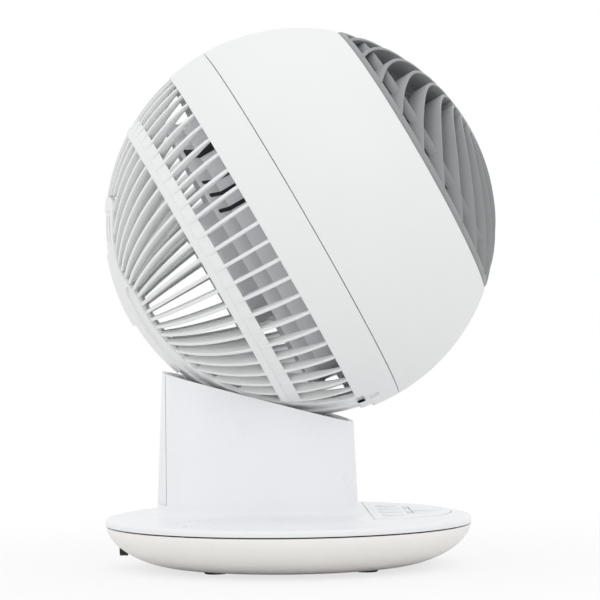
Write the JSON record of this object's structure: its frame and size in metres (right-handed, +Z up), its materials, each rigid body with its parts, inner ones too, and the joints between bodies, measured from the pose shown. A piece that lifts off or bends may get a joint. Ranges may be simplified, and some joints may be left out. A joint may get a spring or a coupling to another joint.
{
  "type": "air circulator fan",
  "caption": "Table air circulator: ball-shaped fan head tilting in a cradle on a short column over a round swivelling base with push buttons.",
  "frame": {"origin": "on the floor under the swivel axis, at the centre of the round base", "axes": "+Z up, -Y the way the fan blows, X across"},
  "size_m": [0.21, 0.2105, 0.2881],
  "materials": {
    "white_shell": "fine satin white",
    "white_stand": "smooth semi-gloss white",
    "warm_base": "satin warm light grey",
    "grey_grille": "satin light grey",
    "inner_plastic": "matt pale grey",
    "black_plastic": "matt black",
    "bearing_steel": "ground",
    "zinc_steel": "zinc plated",
    "nylon": "natural nylon",
    "foot_rubber": "matt",
    "board": "green laminate",
    "lens": "smoked translucent"
  },
  "bodies": {
    "base": {"base_bowl": "warm_base", "ballast_plate": "zinc_steel", "cord_inlet": "black_plastic", "swivel_gear": "nylon", "swivel_bearing_ring": "nylon", "swivel_retainer": "zinc_steel", "retainer_screw": "zinc_steel", "rubber_foot_1": "foot_rubber", "rubber_foot_2": "foot_rubber", "rubber_foot_3": "foot_rubber", "rubber_foot_4": "foot_rubber"},
    "turntable": {"stand_housing": "white_stand", "column_rear_cover": "white_stand", "turntable_plate": "inner_plastic", "control_panel": "white_stand", "indicator_lens": "lens", "panel_board": "board", "swivel_motor": "zinc_steel", "plate_screw_1": "zinc_steel", "plate_screw_2": "zinc_steel", "plate_screw_3": "zinc_steel", "plate_screw_4": "zinc_steel", "tilt_cradle": "inner_plastic", "guide_shoe_left": "nylon", "guide_shoe_right": "nylon", "tilt_motor": "zinc_steel"},
    "swivel_drive": {"swivel_pinion": "nylon"},
    "tilt_drive": {"tilt_pinion": "nylon"},
    "head": {"front_cover": "white_shell", "front_grille": "grey_grille", "grille_cap": "grey_grille", "rear_cover": "white_shell", "tilt_rack": "nylon", "duct_frame": "inner_plastic", "fan_motor": "zinc_steel", "motor_cover": "inner_plastic", "front_bearing": "bearing_steel", "rear_bearing": "bearing_steel", "duct_screw_1": "zinc_steel", "duct_screw_2": "zinc_steel", "duct_screw_3": "zinc_steel", "duct_screw_4": "zinc_steel"},
    "rotor": {"impeller": "grey_grille", "motor_shaft": "bearing_steel", "impeller_nut": "black_plastic"},
    "power_button_body": {"power_button": "white_stand"},
    "timer_button_body": {"timer_button": "white_stand"},
    "speed_button_body": {"speed_button": "white_stand"},
    "swing_button_body": {"swing_button": "white_stand"},
    "tilt_button_body": {"tilt_button": "white_stand"}
  },
  "joints": [
    {"name": "swivel", "type": "hinge", "parent": "base", "child": "turntable", "pos_m": [0, 0, 0.02], "axis": [0, 0, 1], "range_deg": [-60, 60]},
    {"name": "head_tilt", "type": "hinge", "parent": "turntable", "child": "head", "pos_m": [0, -0.008, 0.1832], "axis": [-1, 0, 0], "range_deg": [-29.4, 42.6]},
    {"name": "fan_spin", "type": "hinge", "parent": "head", "child": "rotor", "pos_m": [0, -0.008, 0.1832], "axis": [0, -0.8712, 0.4909], "continuous": true},
    {"name": "swivel_pinion_spin", "type": "hinge", "parent": "turntable", "child": "swivel_drive", "pos_m": [0, 0.04, 0.012], "axis": [0, 0, 1], "range_deg": [-181, 181]},
    {"name": "tilt_pinion_spin", "type": "hinge", "parent": "turntable", "child": "tilt_drive", "pos_m": [0, 0.01443, 0.07858], "axis": [-1, 0, 0], "range_deg": [-720, 500]},
    {"name": "power_button_press", "type": "slide", "parent": "turntable", "child": "power_button_body", "axis": [0, 0, -1], "range_m": [0, 0.0005], "stiffness_N_per_m": 2000},
    {"name": "timer_button_press", "type": "slide", "parent": "turntable", "child": "timer_button_body", "axis": [0, 0, -1], "range_m": [0, 0.0005], "stiffness_N_per_m": 2000},
    {"name": "speed_button_press", "type": "slide", "parent": "turntable", "child": "speed_button_body", "axis": [0, 0, -1], "range_m": [0, 0.0005], "stiffness_N_per_m": 2000},
    {"name": "swing_button_press", "type": "slide", "parent": "turntable", "child": "swing_button_body", "axis": [0, 0, -1], "range_m": [0, 0.0005], "stiffness_N_per_m": 2000},
    {"name": "tilt_button_press", "type": "slide", "parent": "turntable", "child": "tilt_button_body", "axis": [0, 0, -1], "range_m": [0, 0.0005], "stiffness_N_per_m": 2000}
  ],
  "couplings": [
    {"joint": "swivel_pinion_spin", "follows": "swivel", "ratio": 3},
    {"joint": "tilt_pinion_spin", "follows": "head_tilt", "ratio": -16.833}
  ]
}
